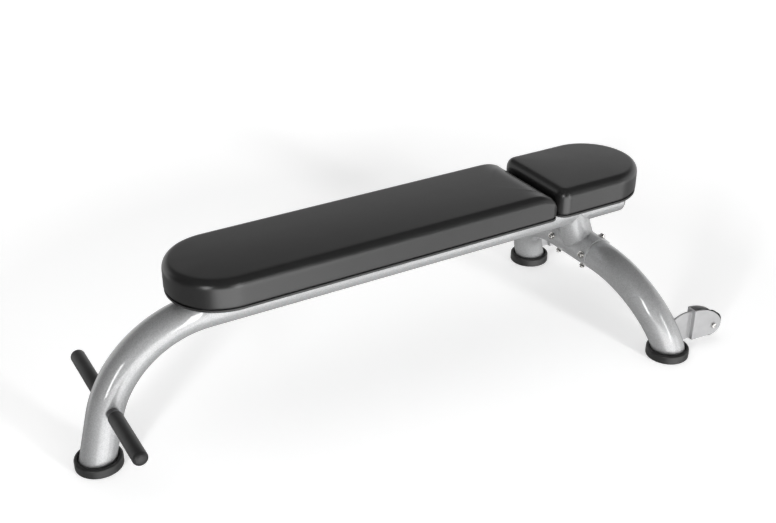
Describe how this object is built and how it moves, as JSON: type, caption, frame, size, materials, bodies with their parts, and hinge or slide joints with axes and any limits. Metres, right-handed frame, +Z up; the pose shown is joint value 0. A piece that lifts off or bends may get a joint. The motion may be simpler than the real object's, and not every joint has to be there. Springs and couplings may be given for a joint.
{
  "type": "flat weight bench",
  "caption": "Flat weight bench on a bent round-tube frame with a leaning rear arch, two vinyl pads, front foot pegs and rear transport wheels.",
  "frame": {"origin": "on the floor, under the middle of the bench's overall length and width", "axes": "+X from the foot end (front leg and pegs) to the head end (rear arch and wheels), +Y to the left of someone who stands at the foot end and looks at the head end, +Z up"},
  "size_m": [1.6404, 0.7086, 0.449],
  "materials": {
    "silver_paint": "metallic silver, clear gloss coat",
    "bracket_paint": "light silver, satin",
    "bright_steel": "bright plated",
    "peg_steel": "satin",
    "black_rubber": "matt",
    "black_plastic": "matt",
    "grey_plastic": "matt",
    "black_vinyl": "satin vinyl",
    "board_vinyl": "board wrapped in satin vinyl"
  },
  "bodies": {
    "bench_frame": {"main_frame_tube": "silver_paint", "beam_end_cap": "black_plastic", "front_foot_cup": "black_rubber", "rear_foot_cup_left": "black_rubber", "rear_foot_cup_right": "black_rubber", "peg_rod": "peg_steel", "peg_sleeve_left": "black_rubber", "peg_sleeve_right": "black_rubber", "rear_arch": "silver_paint", "post_saddle": "silver_paint", "post_tube": "silver_paint", "saddle_bolt_front_left": "bright_steel", "saddle_washer_front_left": "bright_steel", "saddle_nut_front_left": "bright_steel", "saddle_bolt_front_right": "bright_steel", "saddle_washer_front_right": "bright_steel", "saddle_nut_front_right": "bright_steel", "saddle_bolt_rear_left": "bright_steel", "saddle_washer_rear_left": "bright_steel", "saddle_nut_rear_left": "bright_steel", "saddle_bolt_rear_right": "bright_steel", "saddle_washer_rear_right": "bright_steel", "saddle_nut_rear_right": "bright_steel", "main_pad_cushion": "black_vinyl", "main_pad_board": "board_vinyl", "main_pad_bracket_front": "bracket_paint", "main_pad_screw_front_left": "bright_steel", "main_pad_screw_front_right": "bright_steel", "main_pad_bracket_rear": "bracket_paint", "main_pad_screw_rear_left": "bright_steel", "main_pad_screw_rear_right": "bright_steel", "head_pad_cushion": "black_vinyl", "head_pad_board": "board_vinyl", "head_pad_bracket_front": "bracket_paint", "head_pad_screw_front_left": "bright_steel", "head_pad_screw_front_right": "bright_steel", "head_pad_bracket_rear": "bracket_paint", "head_pad_screw_rear_left": "bright_steel", "head_pad_screw_rear_right": "bright_steel", "wheel_gusset_left": "bracket_paint", "wheel_fork_left": "bracket_paint", "axle_bolt_left": "bright_steel", "axle_nut_left": "bright_steel", "wheel_gusset_right": "bracket_paint", "wheel_fork_right": "bracket_paint", "axle_bolt_right": "bright_steel", "axle_nut_right": "bright_steel"},
    "left_wheel": {"wheel_tyre_left": "black_rubber", "wheel_hub_left": "black_plastic", "wheel_bush_left": "grey_plastic"},
    "right_wheel": {"wheel_tyre_right": "black_rubber", "wheel_hub_right": "black_plastic", "wheel_bush_right": "grey_plastic"}
  },
  "joints": [
    {"name": "left_wheel_spin", "type": "hinge", "parent": "bench_frame", "child": "left_wheel", "pos_m": [0.78615, 0.301, 0.0515], "axis": [0, 1, 0], "continuous": true},
    {"name": "right_wheel_spin", "type": "hinge", "parent": "bench_frame", "child": "right_wheel", "pos_m": [0.78615, -0.301, 0.0515], "axis": [0, 1, 0], "continuous": true}
  ]
}
